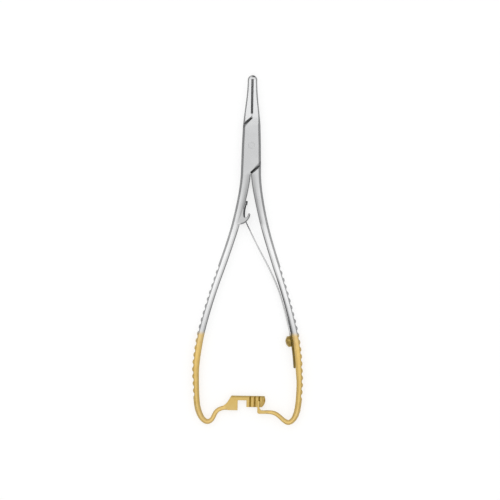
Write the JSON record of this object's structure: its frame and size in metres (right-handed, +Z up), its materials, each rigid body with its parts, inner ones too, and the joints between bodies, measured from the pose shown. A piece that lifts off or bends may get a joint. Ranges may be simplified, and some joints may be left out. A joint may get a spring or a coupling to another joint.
{
  "type": "surgical needle holder",
  "caption": "Palm-held needle holder with box-lock hinge, hard jaw inserts, leaf spring, end ratchet with pawl, and ribbed gilded bow handles.",
  "frame": {"origin": "on the hinge axis, in the plane of the box lock's rear face on which it lies", "axes": "+Y along the closed jaws to their tips, +X towards the handle that carries the spring, +Z up out of the rear face, along the hinge axis"},
  "size_m": [0.0541, 0.1703, 0.0056],
  "materials": {
    "satin_steel": "satin stainless steel; handles gilded behind the ribs' middle",
    "hard_insert": "fine cross-cut hard metal",
    "spring_steel": "polished strip, gilded at its tail",
    "gilt": "gilded, polished"
  },
  "bodies": {
    "box_side": {"box_half": "satin_steel", "right_insert": "hard_insert", "joint_pin": "satin_steel"},
    "tang_side": {"tang_half": "satin_steel", "left_insert": "hard_insert", "leaf_spring": "spring_steel", "spring_screw": "gilt"}
  },
  "joints": [
    {"name": "box_lock_hinge", "type": "hinge", "parent": "box_side", "child": "tang_side", "pos_m": [0, 0, 0], "axis": [0, 0, 1], "range_deg": [0, 15], "deforming": ["leaf_spring"]}
  ]
}
